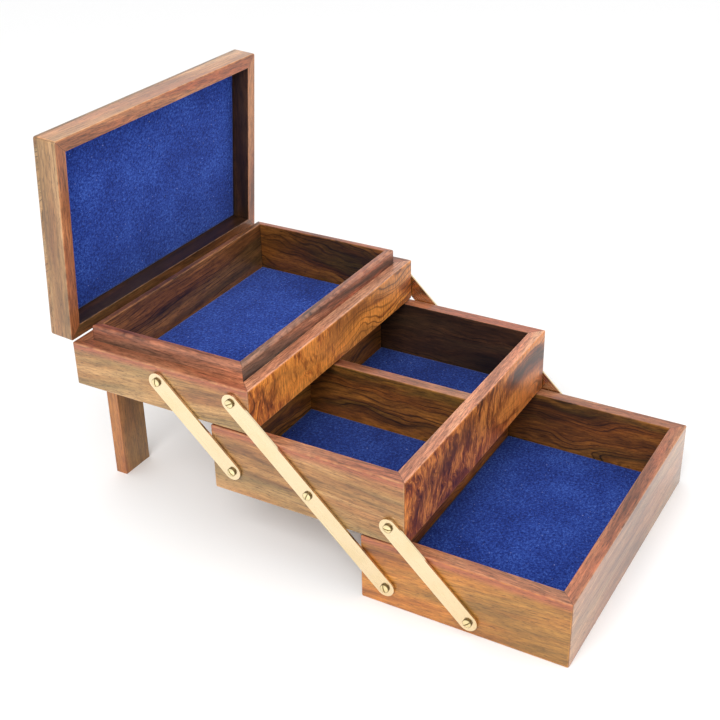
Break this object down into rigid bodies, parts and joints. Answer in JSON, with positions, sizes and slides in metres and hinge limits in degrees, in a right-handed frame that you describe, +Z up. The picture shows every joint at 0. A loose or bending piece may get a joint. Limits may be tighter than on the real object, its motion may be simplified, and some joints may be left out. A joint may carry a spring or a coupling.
{
  "type": "cantilever sewing box",
  "caption": "Wooden sewing box with a hinged lid over three felt-lined trays that step out forwards on brass links, standing open on rear legs.",
  "frame": {"origin": "centre of the lowest tray's underside", "axes": "+X along the trays, -Y the side the trays open towards, +Z up"},
  "size_m": [0.2598, 0.4302, 0.3089],
  "materials": {
    "case_wood": "polished rosewood-like hardwood with grey-brown streaks",
    "burl_front": "polished figured hardwood",
    "inner_wood": "dark satin hardwood",
    "bottom_wood": "plain sanded board",
    "blue_felt": "royal blue felt",
    "brass": "polished pale brass"
  },
  "bodies": {
    "base_tray": {"base_front_board": "burl_front", "base_back_board": "case_wood", "base_left_board": "case_wood", "base_right_board": "case_wood", "base_bottom_board": "bottom_wood", "base_felt": "blue_felt", "base_pivot_screws": "brass", "base_washers": "brass"},
    "long_links": {"left_long_link": "brass", "right_long_link": "brass"},
    "front_links": {"left_front_link": "brass", "right_front_link": "brass"},
    "middle_tray": {"middle_front_board": "burl_front", "middle_back_board": "case_wood", "middle_left_board": "case_wood", "middle_right_board": "case_wood", "middle_bottom_board": "bottom_wood", "middle_divider": "inner_wood", "middle_left_felt": "blue_felt", "middle_right_felt": "blue_felt", "middle_pivot_screws": "brass", "middle_washers": "brass"},
    "rear_links": {"left_rear_link": "brass", "right_rear_link": "brass"},
    "upper_tray": {"upper_front_board": "burl_front", "upper_back_board": "case_wood", "upper_left_board": "case_wood", "upper_right_board": "case_wood", "upper_bottom_board": "bottom_wood", "upper_felt": "blue_felt", "upper_pivot_screws": "brass", "upper_washers": "brass", "liner_front": "inner_wood", "liner_back": "inner_wood", "liner_left": "inner_wood", "liner_right": "inner_wood", "left_leg": "case_wood", "right_leg": "case_wood", "leg_screws": "brass", "left_case_leaf": "brass", "right_case_leaf": "brass", "hinge_pins": "brass", "case_leaf_screws": "brass"},
    "lid": {"lid_front_board": "case_wood", "lid_back_board": "case_wood", "lid_left_board": "case_wood", "lid_right_board": "case_wood", "lid_panel": "case_wood", "lid_felt": "blue_felt", "left_lid_leaf": "brass", "right_lid_leaf": "brass", "lid_leaf_screws": "brass"}
  },
  "joints": [
    {"name": "fold", "type": "hinge", "parent": "base_tray", "child": "long_links", "pos_m": [0, 0.059, 0.017], "axis": [1, 0, 0], "range_deg": [0, 92.8]},
    {"name": "middle_tray_level", "type": "hinge", "parent": "long_links", "child": "middle_tray", "pos_m": [0, 0.12125, 0.07625], "axis": [1, 0, 0], "range_deg": [-92.8, 0]},
    {"name": "upper_tray_level", "type": "hinge", "parent": "long_links", "child": "upper_tray", "pos_m": [0, 0.1835, 0.1355], "axis": [1, 0, 0], "range_deg": [-92.8, 0]},
    {"name": "front_links_turn", "type": "hinge", "parent": "base_tray", "child": "front_links", "pos_m": [0, -0.006, 0.0115], "axis": [1, 0, 0], "range_deg": [0, 92.8]},
    {"name": "rear_links_turn", "type": "hinge", "parent": "middle_tray", "child": "rear_links", "pos_m": [0, 0.18625, 0.07625], "axis": [1, 0, 0], "range_deg": [0, 92.8]},
    {"name": "lid_hinge", "type": "hinge", "parent": "upper_tray", "child": "lid", "pos_m": [0, 0.329, 0.1478], "axis": [1, 0, 0], "range_deg": [0, 86]}
  ],
  "couplings": [
    {"joint": "middle_tray_level", "follows": "fold", "ratio": -1},
    {"joint": "upper_tray_level", "follows": "fold", "ratio": -1},
    {"joint": "front_links_turn", "follows": "fold", "ratio": 1},
    {"joint": "rear_links_turn", "follows": "fold", "ratio": 1}
  ]
}
